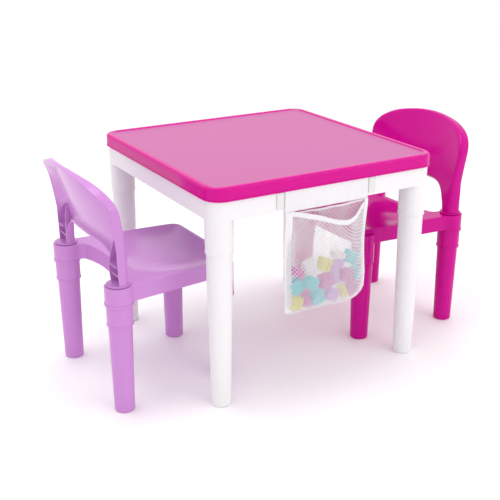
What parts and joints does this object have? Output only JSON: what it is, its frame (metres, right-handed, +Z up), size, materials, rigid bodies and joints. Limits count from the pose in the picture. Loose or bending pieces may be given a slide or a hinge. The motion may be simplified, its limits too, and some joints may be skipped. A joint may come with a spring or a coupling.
{
  "type": "kids table and chairs",
  "caption": "Square plastic play table with a lift-off lid, push-in legs and a hanging net bag of toy bricks, with two small plastic chairs.",
  "frame": {"origin": "centre of the whole set's box, on the floor", "axes": "+X from the purple chair to the magenta chair, -Y towards the net bag's side, +Z up"},
  "size_m": [0.9816, 0.571, 0.494],
  "materials": {
    "lid_plastic": "gloss",
    "white_plastic": "satin gloss",
    "purple_plastic": "satin gloss",
    "magenta_plastic": "satin gloss",
    "net_fabric": "knitted net",
    "tape_fabric": "woven tape",
    "clip_plastic": "clear",
    "cyan_brick": "gloss",
    "yellow_brick": "gloss",
    "pink_brick": "gloss",
    "lilac_brick": "gloss",
    "white_brick": "gloss"
  },
  "bodies": {
    "table": {"table_frame": "white_plastic", "block_plate": "white_plastic", "table_leg_front_left": "white_plastic", "table_leg_front_right": "white_plastic", "table_leg_back_left": "white_plastic", "table_leg_back_right": "white_plastic", "bag_header": "tape_fabric", "bag_clip_left": "clip_plastic", "bag_clip_right": "clip_plastic"},
    "lid": {"table_lid": "lid_plastic"},
    "purple_chair": {"purple_seat": "purple_plastic", "purple_backrest": "purple_plastic", "purple_leg_rear_left": "purple_plastic", "purple_leg_rear_right": "purple_plastic", "purple_leg_front_left": "purple_plastic", "purple_leg_front_right": "purple_plastic"},
    "magenta_chair": {"magenta_seat": "magenta_plastic", "magenta_backrest": "magenta_plastic", "magenta_leg_rear_left": "magenta_plastic", "magenta_leg_rear_right": "magenta_plastic", "magenta_leg_front_left": "magenta_plastic", "magenta_leg_front_right": "magenta_plastic"},
    "bag": {"net_bag": "net_fabric", "bricks_cyan": "cyan_brick", "bricks_yellow": "yellow_brick", "bricks_pink": "pink_brick", "bricks_lilac": "lilac_brick", "bricks_white": "white_brick"}
  },
  "joints": [
    {"name": "lid_lift", "type": "slide", "parent": "table", "child": "lid", "axis": [0, 0, 1], "range_m": [0, 0.15]},
    {"name": "purple_chair_slide", "type": "slide", "parent": "table", "child": "purple_chair", "axis": [-0.9998, -0.0209, 0], "range_m": [-0.08, 0.35]},
    {"name": "magenta_chair_slide", "type": "slide", "parent": "table", "child": "magenta_chair", "axis": [0.9996, 0.0279, 0], "range_m": [-0.08, 0.35]},
    {"name": "bag_swing", "type": "hinge", "parent": "table", "child": "bag", "pos_m": [-0.0147, -0.2575, 0.405], "axis": [-1, 0, 0], "range_deg": [-20, 60]}
  ]
}
